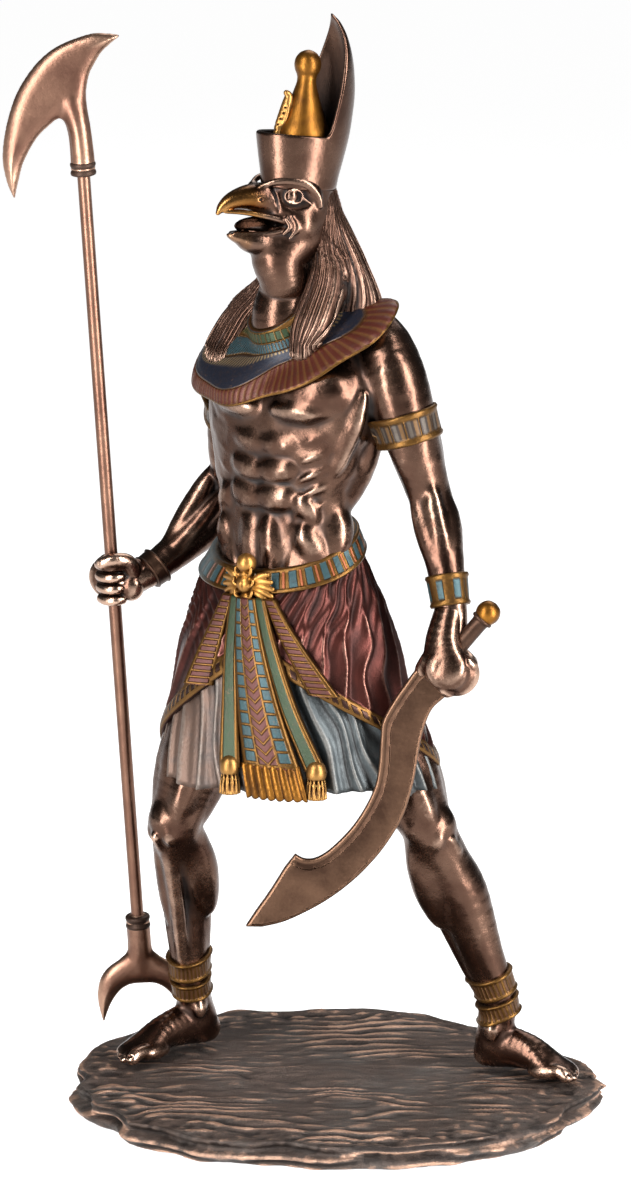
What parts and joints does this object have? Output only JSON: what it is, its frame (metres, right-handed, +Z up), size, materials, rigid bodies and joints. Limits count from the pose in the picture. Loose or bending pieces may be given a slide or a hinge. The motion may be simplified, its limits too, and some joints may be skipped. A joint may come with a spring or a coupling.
{
  "type": "falcon-headed warrior figurine",
  "caption": "Bronzed resin figure of a falcon-headed warrior striding on an oval rock, with a bladed staff and a sickle sword, for display on a shelf or desk.",
  "frame": {"origin": "middle of the rock base's flat underside", "axes": "+Z up, -Y towards the viewer at the front, +X to the viewer's right, on the sword's side"},
  "size_m": [0.1633, 0.1304, 0.3002],
  "materials": {
    "bronze": "dark brown bronzed resin, rubbed bright on the high places, with gold, turquoise, green and red painted trim",
    "rock": "dark grey-brown resin rock with bronzed ridges",
    "staff_bronze": "satin rose bronze",
    "sword_bronze": "dull brown bronze"
  },
  "bodies": {
    "root": {"rock_base": "rock", "figure": "bronze", "staff_rod": "staff_bronze", "staff_blade": "staff_bronze", "staff_fork": "staff_bronze", "sword": "sword_bronze"}
  },
  "joints": []
}
